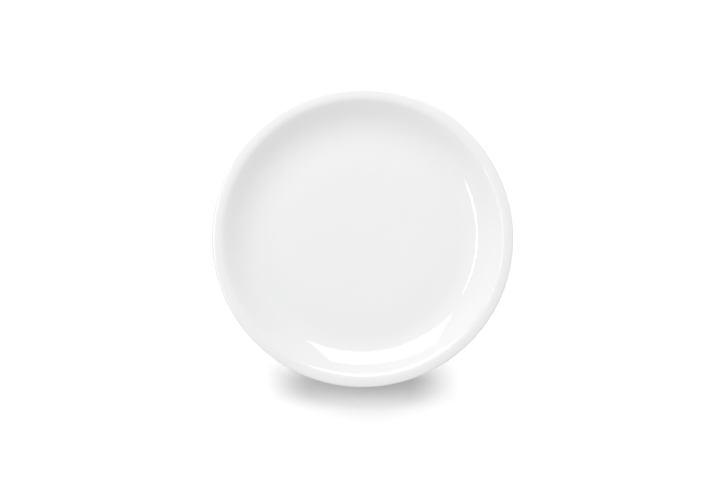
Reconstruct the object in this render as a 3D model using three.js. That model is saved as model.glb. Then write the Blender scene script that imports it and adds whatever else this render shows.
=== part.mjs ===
// A round flat plate of glazed porcelain: a turned body on a foot ring, and the glaze melted onto it.
// The toe of the foot ring is wiped bare before firing, so the glaze is two separate coats: one over the
// face, the rim and the back, and one on the base inside the foot ring.
// Millimetres, +Z up along the plate's axis. The origin is the centre of the ring that the plate stands on.
import * as THREE from "three";

// Driving dimensions of the finished plate
const PLATE_DIAMETER = 260; // across the outermost edge of the rim
const WELL_DEPTH = 14; // from the top of the rim down to the edge of the floor
const SHELL_THICKNESS = 4.6; // of the floor, the wall and the rim, with the glaze on both sides
const WALL_SLOPE = THREE.MathUtils.degToRad(33); // of the wall above the floor
const BEND_RADIUS = 47.5; // of the hollow curve that carries the floor into the wall
const SHOULDER_RADIUS = 9.7; // of the round that turns the wall over into the rim
const CROWN_RADIUS = 22; // of the flatter round from the top of the rim out to its edge
const CROWN_INSET = 5.9; // from the outermost edge in to the top of the rim
const EDGE_RADIUS = 1.2; // of the small round that ends the crown at the rim's edge
const FLOOR_RISE = 0.7; // of the flat middle of the floor above its edge
const FLOOR_FALL_WIDTH = 26; // of the gentle fall from the middle of the floor to its edge

const FOOT_INSET = 9; // from the edge of the floor in to the middle of the foot ring
const FOOT_HEIGHT = 3.2; // from the standing face up to the underside at the foot ring's outer flank
const FOOT_FACE_WIDTH = 2.4; // of the flat face that the plate stands on
const FOOT_DRAFT = THREE.MathUtils.degToRad(14); // lean of the foot ring's two sides
const FOOT_ROOT_RADIUS = 1.2; // where the foot ring grows out of the base
const FOOT_TOE_RADIUS = 0.7; // on either side of the standing face, left bare

const GLAZE_THICKNESS = 0.3;
const BOND_CLEARANCE = 0.02; // keeps the coats and the body apart as solids

// Facets
const FACETS_AROUND = 60;
const FALL_STEPS = 2;
const BEND_STEPS = 4;
const SHOULDER_STEPS = 3;
const CROWN_STEPS = 2;
const EDGE_STEPS = 3;
const ROOT_STEPS = 2;
const TOE_STEPS = 2;

// Levels and centres that the surfaces share
const DOWN = -Math.PI / 2;
const UP = Math.PI / 2;
const bodyDepth = GLAZE_THICKNESS + BOND_CLEARANCE; // of the body's surface under the finished one

const backLevel = FOOT_HEIGHT;
const baseLevel = backLevel + FLOOR_RISE; // inside the foot ring the base is raised as the floor is
const floorLevel = backLevel + SHELL_THICKNESS;
const middleLevel = floorLevel + FLOOR_RISE;
const crownLevel = floorLevel + WELL_DEPTH;
const crownRadiusFromAxis = PLATE_DIAMETER / 2 - CROWN_INSET;

// The straight wall is tangent to the bend below it and to the shoulder above it.
const bothRadii = BEND_RADIUS + SHOULDER_RADIUS;
const wallRun =
  (bothRadii - (bothRadii - WELL_DEPTH) * Math.cos(WALL_SLOPE)) / Math.sin(WALL_SLOPE);
const floorRadius = crownRadiusFromAxis - wallRun;

// The middle of the floor falls to its edge by two equal arcs, the upper one rounded, the lower one hollow.
const fallRadius = (FLOOR_FALL_WIDTH ** 2 + FLOOR_RISE ** 2) / (4 * FLOOR_RISE);
const fallAngle = Math.asin(FLOOR_FALL_WIDTH / 2 / fallRadius);
const fallCrestCentre = new THREE.Vector2(floorRadius - FLOOR_FALL_WIDTH, middleLevel - fallRadius);
const fallHollowCentre = new THREE.Vector2(floorRadius, floorLevel + fallRadius);

const bendCentre = new THREE.Vector2(floorRadius, floorLevel + BEND_RADIUS);
const shoulderCentre = new THREE.Vector2(crownRadiusFromAxis, crownLevel - SHOULDER_RADIUS);
const crownCentre = new THREE.Vector2(crownRadiusFromAxis, crownLevel - CROWN_RADIUS);

// The rim's edge is a small round, which reaches just to the plate's diameter, and a larger one under it.
// Together they are as wide as the shell is thick, so their centres lie on one circle about the crown's.
const underRadius = SHELL_THICKNESS - EDGE_RADIUS;
const edgeOrbit = CROWN_RADIUS - EDGE_RADIUS;
const edgeLean = Math.asin((CROWN_INSET - EDGE_RADIUS) / edgeOrbit);
const underLean = edgeLean - 2 * Math.asin((underRadius - EDGE_RADIUS) / (2 * edgeOrbit));
const roundsMeet = -(edgeLean + underLean) / 2;
const edgeCentre = along(crownCentre, UP - edgeLean, edgeOrbit);
const underCentre = along(crownCentre, UP - underLean, edgeOrbit);

const footRadius = floorRadius - FOOT_INSET;
const outerFoot = footSide(1, backLevel);
const innerFoot = footSide(-1, baseLevel);

// The point at a distance from another, in a direction.
function along(point, direction, distance) {
  return new THREE.Vector2(
    point.x + distance * Math.cos(direction),
    point.y + distance * Math.sin(direction),
  );
}

// One flank of the foot ring, up to the level that it grows out of: side is 1 for the flank towards the rim
// and -1 for the one towards the axis.
function footSide(side, level) {
  const facing = side > 0 ? -FOOT_DRAFT : Math.PI + FOOT_DRAFT;
  const toeCentre = new THREE.Vector2(footRadius + (side * FOOT_FACE_WIDTH) / 2, FOOT_TOE_RADIUS);
  const rootLevel = level - FOOT_ROOT_RADIUS;
  const apart = FOOT_TOE_RADIUS + bodyDepth + FOOT_ROOT_RADIUS;
  const reach =
    (apart + (rootLevel - toeCentre.y) * Math.sin(FOOT_DRAFT)) / Math.cos(FOOT_DRAFT);
  const rootCentre = new THREE.Vector2(toeCentre.x + side * reach, rootLevel);
  return { facing, toeCentre, rootCentre };
}

// Points of a circular arc, both ends included.
function arc(centre, radius, from, to, steps) {
  const clockwise = to < from;
  return new THREE.EllipseCurve(centre.x, centre.y, radius, radius, from, to, clockwise).getPoints(steps);
}

// Half section of the face, the rim and the back at a depth under the finished surface,
// from the axis at the top, round the edge, to the toe of the foot ring.
function faceToFoot(depth) {
  const { facing, toeCentre, rootCentre } = outerFoot;
  const wallFacing = UP + WALL_SLOPE;
  const backDepth = SHELL_THICKNESS - depth;
  return [
    new THREE.Vector2(0, middleLevel - depth),
    ...arc(fallCrestCentre, fallRadius - depth, UP, UP - fallAngle, FALL_STEPS),
    ...arc(fallHollowCentre, fallRadius + depth, DOWN - fallAngle, DOWN, FALL_STEPS).slice(1),
    ...arc(bendCentre, BEND_RADIUS + depth, DOWN, DOWN + WALL_SLOPE, BEND_STEPS).slice(1),
    ...arc(shoulderCentre, SHOULDER_RADIUS - depth, wallFacing, UP, SHOULDER_STEPS),
    ...arc(crownCentre, CROWN_RADIUS - depth, UP, UP - edgeLean, CROWN_STEPS).slice(1),
    ...arc(edgeCentre, EDGE_RADIUS - depth, UP - edgeLean, roundsMeet, EDGE_STEPS).slice(1),
    ...arc(underCentre, underRadius - depth, roundsMeet, DOWN - underLean, EDGE_STEPS).slice(1),
    ...arc(crownCentre, CROWN_RADIUS - backDepth, UP - underLean, UP, CROWN_STEPS).slice(1),
    ...arc(shoulderCentre, SHOULDER_RADIUS - backDepth, UP, wallFacing, SHOULDER_STEPS).slice(1),
    ...arc(bendCentre, BEND_RADIUS + backDepth, DOWN + WALL_SLOPE, DOWN, BEND_STEPS),
    ...arc(rootCentre, FOOT_ROOT_RADIUS + depth, UP, facing + Math.PI, ROOT_STEPS),
    along(toeCentre, facing, FOOT_TOE_RADIUS + bodyDepth - depth),
  ];
}

// Half section of the base inside the foot ring at a depth under the finished surface,
// from the toe of the foot ring to the axis.
function footToBase(depth) {
  const { facing, toeCentre, rootCentre } = innerFoot;
  return [
    along(toeCentre, facing, FOOT_TOE_RADIUS + bodyDepth - depth),
    ...arc(rootCentre, FOOT_ROOT_RADIUS + depth, facing - Math.PI, UP, ROOT_STEPS),
    new THREE.Vector2(0, baseLevel + depth),
  ];
}

// Half section of the bare toe, from the outer flank, over the standing face, to the inner flank.
function bareToe() {
  const downAgain = DOWN + 2 * Math.PI;
  return [
    ...arc(outerFoot.toeCentre, FOOT_TOE_RADIUS, outerFoot.facing, DOWN, TOE_STEPS).slice(1),
    ...arc(innerFoot.toeCentre, FOOT_TOE_RADIUS, downAgain, innerFoot.facing, TOE_STEPS).slice(0, -1),
  ];
}

// A named piece turned about the plate's axis, from a half section that leaves the axis at the piece's top
// and comes back to it below. A lathe turns about +Y and takes its section from the bottom up, so the section
// is reversed and the turned shape stood up.
function turned(name, section, finish) {
  const geometry = new THREE.LatheGeometry(section.toReversed(), FACETS_AROUND).rotateX(UP);
  const piece = new THREE.Mesh(geometry, new THREE.MeshStandardMaterial(finish));
  piece.name = name;
  return piece;
}

const BISCUIT = { color: 0xe5e1d9, roughness: 0.75, metalness: 0 };
const WHITE_GLAZE = { color: 0xededec, roughness: 0.1, metalness: 0 };

// Each coat lies between the finished surface and its own inner face.
const bodySection = [...faceToFoot(bodyDepth), ...bareToe(), ...footToBase(bodyDepth)];
const faceGlazeSection = [...faceToFoot(0), ...faceToFoot(GLAZE_THICKNESS).toReversed()];
const baseGlazeSection = [...footToBase(GLAZE_THICKNESS).toReversed(), ...footToBase(0)];

const plate = new THREE.Group();
plate.name = "flat_plate";
plate.add(
  turned("porcelain_body", bodySection, BISCUIT),
  turned("face_glaze", faceGlazeSection, WHITE_GLAZE),
  turned("base_glaze", baseGlazeSection, WHITE_GLAZE),
);

export default plate;
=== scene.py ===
import math

import bmesh
import bpy
from mathutils import Matrix, Vector


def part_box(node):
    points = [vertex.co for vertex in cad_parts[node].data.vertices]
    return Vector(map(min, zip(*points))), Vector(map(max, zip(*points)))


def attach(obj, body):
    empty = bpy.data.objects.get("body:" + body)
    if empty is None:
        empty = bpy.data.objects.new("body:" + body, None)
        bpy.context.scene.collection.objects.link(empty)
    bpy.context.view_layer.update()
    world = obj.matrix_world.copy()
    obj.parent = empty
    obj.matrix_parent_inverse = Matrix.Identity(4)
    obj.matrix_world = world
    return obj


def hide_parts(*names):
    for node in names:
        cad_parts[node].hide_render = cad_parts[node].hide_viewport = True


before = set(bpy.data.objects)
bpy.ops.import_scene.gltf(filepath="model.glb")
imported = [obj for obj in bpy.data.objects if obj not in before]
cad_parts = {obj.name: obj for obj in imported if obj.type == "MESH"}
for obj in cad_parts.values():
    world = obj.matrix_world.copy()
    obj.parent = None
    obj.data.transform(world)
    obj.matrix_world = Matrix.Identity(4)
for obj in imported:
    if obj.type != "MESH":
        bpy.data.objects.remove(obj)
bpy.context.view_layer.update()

MM = 0.001
UP = math.pi / 2
DOWN = -math.pi / 2

# Sizes of the finished plate
PLATE_RADIUS = 130 * MM
WELL_DEPTH = 14 * MM
SHELL_THICKNESS = 4.6 * MM
WALL_SLOPE = math.radians(33)
BEND_RADIUS = 47.5 * MM
SHOULDER_RADIUS = 9.7 * MM
CROWN_RADIUS = 22 * MM
CROWN_INSET = 5.9 * MM
EDGE_RADIUS = 1.2 * MM
FLOOR_RISE = 0.7 * MM
FLOOR_FALL_WIDTH = 26 * MM
FOOT_INSET = 9 * MM
FOOT_FACE_WIDTH = 2.4 * MM
FOOT_DRAFT = math.radians(14)
FOOT_ROOT_RADIUS = 1.2 * MM
FOOT_TOE_RADIUS = 0.7 * MM
GLAZE_THICKNESS = 0.3 * MM
BOND_CLEARANCE = 0.02 * MM
BODY_DEPTH = GLAZE_THICKNESS + BOND_CLEARANCE

# Levels and centres that the sections share, with the crown's level taken from the frame
CROWN_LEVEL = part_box("face_glaze")[1].z
FLOOR_LEVEL = CROWN_LEVEL - WELL_DEPTH
MIDDLE_LEVEL = FLOOR_LEVEL + FLOOR_RISE
BACK_LEVEL = FLOOR_LEVEL - SHELL_THICKNESS
BASE_LEVEL = BACK_LEVEL + FLOOR_RISE
BOTH_RADII = BEND_RADIUS + SHOULDER_RADIUS
WALL_RUN = (BOTH_RADII - (BOTH_RADII - WELL_DEPTH) * math.cos(WALL_SLOPE)) / math.sin(WALL_SLOPE)
CROWN_REACH = PLATE_RADIUS - CROWN_INSET
FLOOR_RADIUS = CROWN_REACH - WALL_RUN
FOOT_RADIUS = FLOOR_RADIUS - FOOT_INSET
FALL_RADIUS = (FLOOR_FALL_WIDTH ** 2 + FLOOR_RISE ** 2) / (4 * FLOOR_RISE)
FALL_ANGLE = math.asin(FLOOR_FALL_WIDTH / 2 / FALL_RADIUS)
UNDER_RADIUS = SHELL_THICKNESS - EDGE_RADIUS
EDGE_ORBIT = CROWN_RADIUS - EDGE_RADIUS
EDGE_LEAN = math.asin((CROWN_INSET - EDGE_RADIUS) / EDGE_ORBIT)
UNDER_LEAN = EDGE_LEAN - 2 * math.asin((UNDER_RADIUS - EDGE_RADIUS) / (2 * EDGE_ORBIT))
ROUNDS_MEET = -(EDGE_LEAN + UNDER_LEAN) / 2

# Fineness of the turned meshes
STEPS_AROUND = 192
FALL_STEPS = 6
BEND_STEPS = 14
SHOULDER_STEPS = 10
CROWN_STEPS = 6
EDGE_STEPS = 8
FOOT_STEPS = 6
LONGEST_EDGE = 6 * MM
SAME_POINT = 0.001 * MM

# Colours of the glaze and of the bare porcelain
GLAZE_WHITE = (0.846, 0.846, 0.844, 1)
GLAZE_SHADE = (0.840, 0.841, 0.841, 1)
GLAZE_POOLED = (0.828, 0.836, 0.838, 1)
GLAZE_THIN = (0.846, 0.838, 0.822, 1)
GLAZE_SPECK = (0.560, 0.530, 0.480, 1)
BISCUIT_PALE = (0.84, 0.81, 0.75, 1)
BISCUIT_SHADE = (0.74, 0.71, 0.65, 1)
BISCUIT_WARM = (0.74, 0.68, 0.58, 1)
BISCUIT_RUBBED = (0.55, 0.53, 0.50, 1)
BISCUIT_SPECK = (0.42, 0.36, 0.29, 1)

# Finish of the glaze: sizes of what varies over it, and how strongly each shows
CLOUD_SIZE = 24 * MM
CLOUD_RANGE = (0.3, 0.7)
RIPPLE_SIZE = 3.2 * MM
POOL_REACH = 12 * MM
POOL_SHARE = 0.5
THIN_WIDTH = 2.5 * MM
THIN_SHARE = 0.6
PINHOLE_SPACING = 7 * MM
PINHOLE_RADIUS = 0.22 * MM
PINHOLE_SHARE = 0.5
TURNING_SPACING = 1.7 * MM
TURNING_WANDER = 0.8 * MM
GLAZE_UNEVENNESS = 0.012 * MM
GLAZE_ROUGHNESS = 0.04
CLOUD_ROUGHNESS = 0.03
THIN_ROUGHNESS = 0.04
UNDERNEATH_ROUGHNESS = 0.05
GLAZE_IOR = 1.52

# Finish of the bare porcelain at the toe of the foot ring
GRAIN_SIZE = 0.4 * MM
STAIN_SIZE = 18 * MM
GRAIN_RANGE = (0.25, 0.75)
STAIN_SHARE = 0.5
SCUFF_SPACING = 0.22 * MM
SCUFF_WANDER = 0.3 * MM
SCUFF_SHARE = 0.35
SCUFF_HEIGHT = 0.5
RUBBED_LEVEL = 0.25 * MM
RUBBED_SHARE = 0.25
FLECK_SPACING = 2.5 * MM
FLECK_RADIUS = 0.16 * MM
FLECK_SHARE = 0.6
BISCUIT_UNEVENNESS = 0.02 * MM
BISCUIT_ROUGHNESS = 0.7
GRAIN_ROUGHNESS = 0.2
RUBBED_SMOOTHNESS = 0.2

# Specks in both: which cells of a random pattern have one, and how much of it is full strength
SPECKED_CELLS = (0.60, 0.62)
SPECK_CORE = 0.4

# The photographed view: where the middle of the rim lies in the image, and how the camera is held
IMAGE_WIDTH = 720
IMAGE_HEIGHT = 479
RIM_CENTRE = (362.5, 236.0)
RIM_RADIUS = 150.9
VIEW_ELEVATION = math.radians(81.8)
LENS = 100
SENSOR = 36

# Studio light: radiances, directions, widths and heights of the panels that face the plate, and the share
# of width times height that each shape of panel fills. The room's light is a little stronger from one side,
# and the room is plain white where it is seen.
LIGHT_DISTANCE = 2.5
SOFTBOX_RADIANCE = 3.1
SOFTBOX_DIRECTION = (-0.118, 0.761, 0.638)
SOFTBOX_SIZE = (1.80, 1.33)
SOFTBOX_SHAPE = "RECTANGLE"
STRIP_RADIANCE = 6.366
STRIP_DIRECTION = (-0.475, 0.112, 0.873)
STRIP_SIZE = (1.42, 0.17)
STRIP_SHAPE = "ELLIPSE"
FILLED_SHARE = {"RECTANGLE": 1.0, "ELLIPSE": math.pi / 4}
ROOM_RADIANCE = 0.752
ROOM_SLANT = 0.176
ROOM_SHOWN = 1.06
ROOM_BRIGHT_SIDE = (-1, 0, 0)

# The table: its own paleness, and how pale it is shown to the camera. That is just enough for white, so it
# is raised far off, and on the shaded side of the plate as painted light that hides the plate's shadow
# there.
# In front of the plate it is lowered instead, a painted shadow that deepens the plate's shadow there.
TABLE_RADIUS = 6.0
TABLE_SIDES = 96
TABLE_PALENESS = 0.92
SHOWN_AROUND = 1.06
SHOWN_FAR_OFF = 1.50
FAR_OFF = (0.2, 1.8)
# Painted light on the plate's shaded side: its direction, how much paler, how that swings, how far it
# reaches
PAINTED_LIGHT_WAY = (0.461, -0.887, 0)
PAINTED_LIGHT_LIFT = 0.27
PAINTED_LIGHT_SWING = 0.55
PAINTED_LIGHT_END = 170 * MM
# Painted shadow in front of the plate: how pale the table is shown in it and further out, where it lies and
# fades
SHOWN_IN_PAINTED_SHADOW = 0.73
SHOWN_FURTHER_OUT = 1.10
FRONT_MIDDLE = -2 * MM
FRONT_SIDES = (40 * MM, 96 * MM)
FRONT_FADE = (-151 * MM, -126 * MM)
FRONT_BACK = (-125 * MM, -93 * MM)
FRONT_END = (-205 * MM, -170 * MM)
UNDER_PLATE = (108 * MM, 126 * MM)

# Sockets of a Mix node that blends colours
MIX_FACTOR = 0
MIX_LOW = 6
MIX_HIGH = 7
MIX_RESULT = 2


class Wire:
    """A socket in a node tree. Arithmetic on wires adds Math nodes, and any other node comes from add."""

    def __init__(self, tree, socket=None):
        self.tree = tree
        self.socket = socket

    def add(self, kind, settings=None, sockets=None, out=0):
        """Adds a node with settings and the values or wires of its sockets, and returns an output of it."""
        node = self.tree.nodes.new(kind)
        for name, value in (settings or {}).items():
            setattr(node, name, value)
        for name, value in (sockets or {}).items():
            if isinstance(value, Wire):
                self.tree.links.new(value.socket, node.inputs[name])
            else:
                node.inputs[name].default_value = value
        return Wire(self.tree, node.outputs[out])

    def maths(self, operation, *values):
        """A Math node on some values, or on this wire alone."""
        values = values or [self]
        return self.add("ShaderNodeMath", {"operation": operation}, dict(enumerate(values)))

    def vector(self, operation, *values, out="Vector"):
        """A Vector Math node on some values."""
        return self.add("ShaderNodeVectorMath", {"operation": operation}, dict(enumerate(values)), out)

    def __add__(self, other):
        return self.maths("ADD", self, other)

    def __sub__(self, other):
        return self.maths("SUBTRACT", self, other)

    def __mul__(self, other):
        return self.maths("MULTIPLY", self, other)

    def __truediv__(self, other):
        return self.maths("DIVIDE", self, other)

    def __pow__(self, other):
        return self.maths("POWER", self, other)

    def __rsub__(self, other):
        return self.maths("SUBTRACT", other, self)

    __radd__ = __add__
    __rmul__ = __mul__

    def rising(self, low, high):
        """A mask that is 0 below low and 1 above high, with a smooth rise between them."""
        stops = {"Value": self, "From Min": low, "From Max": high}
        return self.add("ShaderNodeMapRange", {"interpolation_type": "SMOOTHSTEP"}, stops)

    def near(self, middle, reach):
        """A mask that is 1 at a middle value and falls smoothly to 0 at a reach on either side."""
        return 1 - (self - middle).maths("ABSOLUTE").rising(0, reach)

    def blended(self, low_colour, high_colour):
        """One colour where the wire is 0, another where it is 1."""
        colours = {MIX_FACTOR: self, MIX_LOW: low_colour, MIX_HIGH: high_colour}
        return self.add("ShaderNodeMix", {"data_type": "RGBA"}, colours, out=MIX_RESULT)

    def noise(self, place, size, detail):
        """Soft random grain of about a size in metres, with a number of finer layers."""
        return self.add("ShaderNodeTexNoise", {}, {"Vector": place, "Scale": 1 / size, "Detail": detail})

    def specks(self, place, apart, radius):
        """1 in small round spots, one in every few cells of a spacing, and 0 around them."""
        cells = {"Vector": place, "Scale": 1 / apart}
        nearest = self.add("ShaderNodeTexVoronoi", {}, cells, out="Distance")
        chosen = self.add("ShaderNodeTexVoronoi", {}, cells, out="Color").rising(*SPECKED_CELLS)
        return (1 - nearest.rising(SPECK_CORE * radius / apart, radius / apart)) * chosen

    def rings(self, apart):
        """Rises and falls between 0 and 1 as the wire grows, once in every spacing."""
        return (self * (2 * math.pi / apart)).maths("SINE") * 0.5 + 0.5

    def bumped(self, height, depth):
        """The surface's normal where a height from 0 to 1 stands for a depth."""
        return self.add("ShaderNodeBump", {}, {"Height": height, "Distance": depth}, out="Normal")


class Arc:
    """A stretch of a half section: an arc in the XZ plane, or a bare point where it has no radius."""

    def __init__(self, centre, radius=0.0, start=0.0, end=0.0, steps=0):
        self.centre = centre
        self.radius = radius
        self.start = start
        self.end = end
        self.steps = steps

    def first(self):
        return along(self.centre, self.start, self.radius)

    def backwards(self):
        return Arc(self.centre, self.radius, self.end, self.start, self.steps)


def spot(x, z):
    """A place in the half section's plane."""
    return Vector((x, 0, z))


def along(place, direction, distance):
    """The place at a distance from another, in a direction within the half section's plane."""
    return place + spot(distance * math.cos(direction), distance * math.sin(direction))


def foot_flank(side):
    """Facing, toe centre and root centre of a flank of the foot: side 1 is towards the rim, -1 the axis."""
    facing = -FOOT_DRAFT if side > 0 else math.pi + FOOT_DRAFT
    level = BACK_LEVEL if side > 0 else BASE_LEVEL
    toe = spot(FOOT_RADIUS + side * FOOT_FACE_WIDTH / 2, FOOT_TOE_RADIUS)
    root_level = level - FOOT_ROOT_RADIUS
    apart = FOOT_TOE_RADIUS + BODY_DEPTH + FOOT_ROOT_RADIUS
    reach = (apart + (root_level - toe.z) * math.sin(FOOT_DRAFT)) / math.cos(FOOT_DRAFT)
    root = spot(toe.x + side * reach, root_level)
    return facing, toe, root


def face_to_foot(depth):
    """Section of the face, the rim and the back at a depth under the finished surface, axis to toe."""
    fall_crest = spot(FLOOR_RADIUS - FLOOR_FALL_WIDTH, MIDDLE_LEVEL - FALL_RADIUS)
    fall_hollow = spot(FLOOR_RADIUS, FLOOR_LEVEL + FALL_RADIUS)
    bend = spot(FLOOR_RADIUS, FLOOR_LEVEL + BEND_RADIUS)
    shoulder = spot(CROWN_REACH, CROWN_LEVEL - SHOULDER_RADIUS)
    crown = spot(CROWN_REACH, CROWN_LEVEL - CROWN_RADIUS)
    edge = along(crown, UP - EDGE_LEAN, EDGE_ORBIT)
    under = along(crown, UP - UNDER_LEAN, EDGE_ORBIT)
    facing, toe, root = foot_flank(1)
    wall_facing = UP + WALL_SLOPE
    wall_foot = DOWN + WALL_SLOPE
    back = SHELL_THICKNESS - depth
    return [
        Arc(spot(0, MIDDLE_LEVEL - depth)),
        Arc(fall_crest, FALL_RADIUS - depth, UP, UP - FALL_ANGLE, FALL_STEPS),
        Arc(fall_hollow, FALL_RADIUS + depth, DOWN - FALL_ANGLE, DOWN, FALL_STEPS),
        Arc(bend, BEND_RADIUS + depth, DOWN, wall_foot, BEND_STEPS),
        Arc(shoulder, SHOULDER_RADIUS - depth, wall_facing, UP, SHOULDER_STEPS),
        Arc(crown, CROWN_RADIUS - depth, UP, UP - EDGE_LEAN, CROWN_STEPS),
        Arc(edge, EDGE_RADIUS - depth, UP - EDGE_LEAN, ROUNDS_MEET, EDGE_STEPS),
        Arc(under, UNDER_RADIUS - depth, ROUNDS_MEET, DOWN - UNDER_LEAN, EDGE_STEPS),
        Arc(crown, CROWN_RADIUS - back, UP - UNDER_LEAN, UP, CROWN_STEPS),
        Arc(shoulder, SHOULDER_RADIUS - back, UP, wall_facing, SHOULDER_STEPS),
        Arc(bend, BEND_RADIUS + back, wall_foot, DOWN, BEND_STEPS),
        Arc(root, FOOT_ROOT_RADIUS + depth, UP, facing + math.pi, FOOT_STEPS),
        Arc(along(toe, facing, FOOT_TOE_RADIUS + BODY_DEPTH - depth)),
    ]


def foot_to_base(depth):
    """Section of the base inside the foot ring at a depth under the finished surface, toe to axis."""
    facing, toe, root = foot_flank(-1)
    return [
        Arc(along(toe, facing, FOOT_TOE_RADIUS + BODY_DEPTH - depth)),
        Arc(root, FOOT_ROOT_RADIUS + depth, facing - math.pi, UP, FOOT_STEPS),
        Arc(spot(0, BASE_LEVEL + depth)),
    ]


def bare_toe():
    """Section of the unglazed toe of the foot ring, from its outer flank to its inner one."""
    outer_facing, outer_toe, _ = foot_flank(1)
    inner_facing, inner_toe, _ = foot_flank(-1)
    return [
        Arc(outer_toe, FOOT_TOE_RADIUS, outer_facing, DOWN, FOOT_STEPS),
        Arc(inner_toe, FOOT_TOE_RADIUS, DOWN, inner_facing - 2 * math.pi, FOOT_STEPS),
    ]


def glaze_lip(side):
    """Section of the rolled edge where a coat of glaze stops at the toe of the foot ring."""
    facing, toe, _ = foot_flank(side)
    middle = along(toe, facing, FOOT_TOE_RADIUS + BODY_DEPTH - GLAZE_THICKNESS / 2)
    if side > 0:
        return [Arc(middle, GLAZE_THICKNESS / 2, facing, facing - math.pi, FOOT_STEPS)]
    return [Arc(middle, GLAZE_THICKNESS / 2, facing + math.pi, facing + 2 * math.pi, FOOT_STEPS)]


def backwards(section):
    """A half section followed from its other end."""
    return [arc.backwards() for arc in reversed(section)]


def turned(name, section):
    """A closed piece turned about the plate's axis from a half section that starts and ends on it."""
    mesh = bmesh.new()
    tip = mesh.verts.new(section[0].first())
    for arc in section:
        line = bmesh.ops.extrude_vert_indiv(mesh, verts=[tip])
        tip = line["verts"][0]
        bmesh.ops.translate(mesh, verts=[tip], vec=arc.first() - tip.co)
        if arc.steps:
            bow = bmesh.ops.spin(
                mesh, geom=[tip], cent=arc.centre, axis=(0, -1, 0), dvec=(0, 0, 0),
                angle=arc.end - arc.start, steps=arc.steps, use_merge=False, use_duplicate=False)
            tip = bow["geom_last"][0]
    bmesh.ops.remove_doubles(mesh, verts=mesh.verts[:], dist=SAME_POINT)
    for edge in mesh.edges[:]:
        cuts = int(edge.calc_length() / LONGEST_EDGE)
        if cuts:
            bmesh.ops.subdivide_edges(mesh, edges=[edge], cuts=cuts)
    bmesh.ops.spin(
        mesh, geom=mesh.verts[:] + mesh.edges[:], cent=(0, 0, 0), axis=(0, 0, 1), dvec=(0, 0, 0),
        angle=2 * math.pi, steps=STEPS_AROUND, use_merge=True, use_duplicate=False)
    bmesh.ops.remove_doubles(mesh, verts=mesh.verts[:], dist=SAME_POINT)
    bmesh.ops.recalc_face_normals(mesh, faces=mesh.faces[:])
    data = bpy.data.meshes.new(name)
    mesh.to_mesh(data)
    mesh.free()
    data.shade_smooth()
    piece = bpy.data.objects.new(name, data)
    bpy.context.scene.collection.objects.link(piece)
    return piece


def new_material(name):
    """An empty material, and a wire to add its nodes with."""
    material = bpy.data.materials.new(name)
    material.use_nodes = True
    material.node_tree.nodes.clear()
    return material, Wire(material.node_tree)


def finish_with(wire, shader):
    """Shows a shader as the surface of the wire's tree."""
    output = wire.tree.nodes.new("ShaderNodeOutputMaterial")
    wire.tree.links.new(shader.socket, output.inputs["Surface"])


def radius_and_level(wire):
    """The place on the plate, how far it is from the axis and how high above the table."""
    place = wire.add("ShaderNodeTexCoord", out="Object")
    radius = wire.vector("LENGTH", wire.vector("MULTIPLY", place, (1, 1, 0)), out="Value")
    level = wire.vector("DOT_PRODUCT", place, (0, 0, 1), out="Value")
    return place, radius, level


def white_glaze():
    """Glossy, faintly rippled white glaze: pooled in the bend, thin at the edge, marked only underneath."""
    material, wire = new_material("white_glaze")
    place, radius, level = radius_and_level(wire)
    cloud = wire.noise(place, CLOUD_SIZE, detail=3.0).rising(*CLOUD_RANGE)
    ripple = wire.noise(place, RIPPLE_SIZE, detail=1.0)
    pooled = radius.near(FLOOR_RADIUS, POOL_REACH) * level.rising(BASE_LEVEL, FLOOR_LEVEL)
    thin = radius.rising(PLATE_RADIUS - THIN_WIDTH, PLATE_RADIUS)
    underneath = 1 - level.rising(0, FLOOR_LEVEL)
    pinholes = wire.specks(place, PINHOLE_SPACING, PINHOLE_RADIUS) * underneath
    turning = (radius + cloud * TURNING_WANDER).rings(TURNING_SPACING) * underneath

    white = cloud.blended(GLAZE_SHADE, GLAZE_WHITE)
    white = (pooled * POOL_SHARE).blended(white, GLAZE_POOLED)
    white = (thin * THIN_SHARE).blended(white, GLAZE_THIN)
    white = (pinholes * PINHOLE_SHARE).blended(white, GLAZE_SPECK)
    roughness = GLAZE_ROUGHNESS + cloud * CLOUD_ROUGHNESS + thin * THIN_ROUGHNESS
    shader = wire.add("ShaderNodeBsdfPrincipled", {}, {
        "Base Color": white,
        "Roughness": roughness + underneath * UNDERNEATH_ROUGHNESS,
        "IOR": GLAZE_IOR,
        "Normal": wire.bumped(ripple + turning - pinholes, GLAZE_UNEVENNESS),
    })
    finish_with(wire, shader)
    return material


def bare_biscuit():
    """Unglazed porcelain: matt, faintly warm, finely grained, and rubbed grey where the plate stands."""
    material, wire = new_material("bare_biscuit")
    place, radius, level = radius_and_level(wire)
    grain = wire.noise(place, GRAIN_SIZE, detail=4.0).rising(*GRAIN_RANGE)
    stain = wire.noise(place, STAIN_SIZE, detail=3.0).rising(*GRAIN_RANGE)
    scuffs = (radius + stain * SCUFF_WANDER).rings(SCUFF_SPACING)
    rubbed = (1 - level.rising(0, RUBBED_LEVEL)) * stain
    flecks = wire.specks(place, FLECK_SPACING, FLECK_RADIUS)

    colour = grain.blended(BISCUIT_SHADE, BISCUIT_PALE)
    colour = (stain * STAIN_SHARE).blended(colour, BISCUIT_WARM)
    colour = (rubbed * (RUBBED_SHARE + scuffs * SCUFF_SHARE)).blended(colour, BISCUIT_RUBBED)
    colour = (flecks * FLECK_SHARE).blended(colour, BISCUIT_SPECK)
    height = grain - flecks + rubbed * scuffs * SCUFF_HEIGHT
    shader = wire.add("ShaderNodeBsdfPrincipled", {}, {
        "Base Color": colour,
        "Roughness": BISCUIT_ROUGHNESS + grain * GRAIN_ROUGHNESS - rubbed * RUBBED_SMOOTHNESS,
        "Normal": wire.bumped(height, BISCUIT_UNEVENNESS),
    })
    finish_with(wire, shader)
    return material


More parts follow.
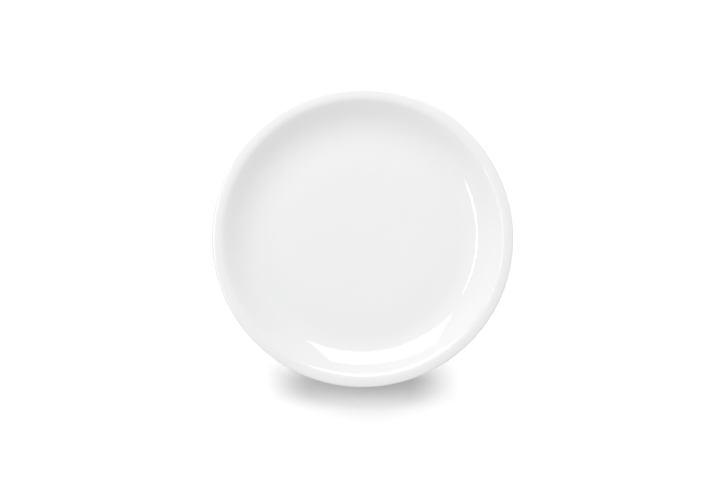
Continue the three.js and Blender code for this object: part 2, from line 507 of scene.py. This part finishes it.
def sightlines(wire):
    """Two masks: what the camera sees directly, and what it sees in a reflection or through glass."""
    direct = wire.add("ShaderNodeLightPath", out="Is Camera Ray")
    glossy = wire.add("ShaderNodeLightPath", out="Is Glossy Ray")
    through = wire.add("ShaderNodeLightPath", out="Is Transmission Ray")
    return direct, wire.maths("MAXIMUM", glossy, through)


def grey(level):
    """A colour without a hue."""
    return (level, level, level, 1)


def pale_table():
    """A matt pale table, shown white, with painted light over the plate's shadow to one side and a painted
    shadow in front.
    """
    material, wire = new_material("pale_table")
    place = wire.add("ShaderNodeTexCoord", out="Object")
    x = wire.vector("DOT_PRODUCT", place, (1, 0, 0), out="Value")
    y = wire.vector("DOT_PRODUCT", place, (0, 1, 0), out="Value")
    outwards = wire.vector("LENGTH", place, out="Value")
    # Painted light: the table is shown paler on the plate's shaded side, most near the plate, hiding its
    # shadow there
    shaded = wire.vector("DOT_PRODUCT", wire.vector("NORMALIZE", place), PAINTED_LIGHT_WAY, out="Value")
    painted_light = wire.maths("MAXIMUM", PAINTED_LIGHT_LIFT + PAINTED_LIGHT_SWING * shaded, 0)
    nearness = wire.maths("MAXIMUM", (PAINTED_LIGHT_END - outwards) / (PAINTED_LIGHT_END - PLATE_RADIUS), 0)
    open_table = SHOWN_AROUND + (SHOWN_FAR_OFF - SHOWN_AROUND) * outwards.rising(*FAR_OFF)
    around = open_table + painted_light * nearness ** 2
    # Painted shadow: in front of the plate the table is shown darker, most by the plate's edge, deepening
    # its shadow
    aside = (x - FRONT_MIDDLE).maths("ABSOLUTE").rising(*FRONT_SIDES)
    painted_shadow_area = (1 - aside) * (1 - y.rising(*FRONT_BACK)) * y.rising(*FRONT_END)
    shadow = SHOWN_FURTHER_OUT + (SHOWN_IN_PAINTED_SHADOW - SHOWN_FURTHER_OUT) * y.rising(*FRONT_FADE)
    shown = around + painted_shadow_area * (shadow - around)

    direct, mirrored = sightlines(wire)
    paleness = mirrored.blended(grey(TABLE_PALENESS), grey(ROOM_SHOWN))
    in_view = direct * outwards.rising(*UNDER_PLATE)
    shader = wire.add("ShaderNodeBsdfPrincipled", {}, {
        "Base Color": in_view.blended(paleness, shown),
        "Roughness": 1.0,
        "Specular IOR Level": 0.0,
    })
    finish_with(wire, shader)
    return material


def add_table():
    mesh = bmesh.new()
    bmesh.ops.create_circle(mesh, cap_ends=True, segments=TABLE_SIDES, radius=TABLE_RADIUS)
    data = bpy.data.meshes.new("table")
    mesh.to_mesh(data)
    mesh.free()
    data.materials.append(pale_table())
    table = bpy.data.objects.new("table", data)
    bpy.context.scene.collection.objects.link(table)


def add_panel_light(name, shape, radiance, direction, size):
    """A panel of even radiance that faces the plate, with its width level."""
    lamp = bpy.data.lights.new(name, "AREA")
    lamp.shape = shape
    lamp.size = size[0]
    lamp.size_y = size[1]
    area = size[0] * size[1] * FILLED_SHARE[shape]
    lamp.energy = radiance * math.pi * area
    panel = bpy.data.objects.new(name, lamp)
    towards = Vector(direction).normalized()
    facing = towards.to_track_quat("Z", "Y").to_matrix().to_4x4()
    place = Matrix.Translation(towards * LIGHT_DISTANCE)
    panel.matrix_world = place @ facing
    panel.visible_camera = False
    bpy.context.scene.collection.objects.link(panel)


def add_studio_light():
    add_panel_light("softbox", SOFTBOX_SHAPE, SOFTBOX_RADIANCE, SOFTBOX_DIRECTION, SOFTBOX_SIZE)
    add_panel_light("strip", STRIP_SHAPE, STRIP_RADIANCE, STRIP_DIRECTION, STRIP_SIZE)
    world = bpy.data.worlds.new("white_room")
    world.use_nodes = True
    world.node_tree.nodes.clear()
    wire = Wire(world.node_tree)
    direction = wire.add("ShaderNodeTexCoord", out="Generated")
    sideways = wire.vector("DOT_PRODUCT", direction, ROOM_BRIGHT_SIDE, out="Value")
    lit = ROOM_RADIANCE + ROOM_SLANT * sideways
    direct, mirrored = sightlines(wire)
    strength = lit + (direct + mirrored) * (ROOM_SHOWN - lit)
    room = wire.add("ShaderNodeBackground", {}, {"Color": grey(1), "Strength": strength})
    output = world.node_tree.nodes.new("ShaderNodeOutputWorld")
    world.node_tree.links.new(room.socket, output.inputs["Surface"])
    bpy.context.scene.world = world


def add_camera():
    """A long lens nearly over the plate, held so that the outline lies where the photograph has it."""
    data = bpy.data.cameras.new("camera")
    data.lens = LENS
    data.sensor_width = SENSOR
    camera = bpy.data.objects.new("camera", data)
    bpy.context.scene.collection.objects.link(camera)
    bpy.context.scene.camera = camera
    pixel = PLATE_RADIUS / RIM_RADIUS
    distance = LENS / SENSOR * IMAGE_WIDTH * pixel
    tilt = Matrix.Rotation(UP - VIEW_ELEVATION, 4, "X")
    to_right = (RIM_CENTRE[0] - IMAGE_WIDTH / 2) * pixel
    upwards = (IMAGE_HEIGHT / 2 - RIM_CENTRE[1]) * pixel
    aside = Matrix.Translation((-to_right, -upwards, distance))
    rim = Matrix.Translation((0, 0, CROWN_LEVEL))
    camera.matrix_world = rim @ tilt @ aside


def add_plate():
    glaze = white_glaze()
    under_face = backwards(face_to_foot(GLAZE_THICKNESS))
    under_base = backwards(foot_to_base(GLAZE_THICKNESS))
    body = turned("porcelain_body_fine", face_to_foot(BODY_DEPTH) + bare_toe() + foot_to_base(BODY_DEPTH))
    face = turned("face_glaze_fine", face_to_foot(0) + glaze_lip(1) + under_face)
    base = turned("base_glaze_fine", under_base + glaze_lip(-1) + foot_to_base(0))
    finishes = [
        (body, "porcelain_body", "biscuit", bare_biscuit()),
        (face, "face_glaze", "glaze", glaze),
        (base, "base_glaze", "glaze", glaze),
    ]
    for piece, node, slot, material in finishes:
        piece.data.materials.append(material)
        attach(piece, "root")
        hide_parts(node)


bpy.context.scene.view_settings.view_transform = "Standard"
add_camera()
add_plate()
add_table()
add_studio_light()
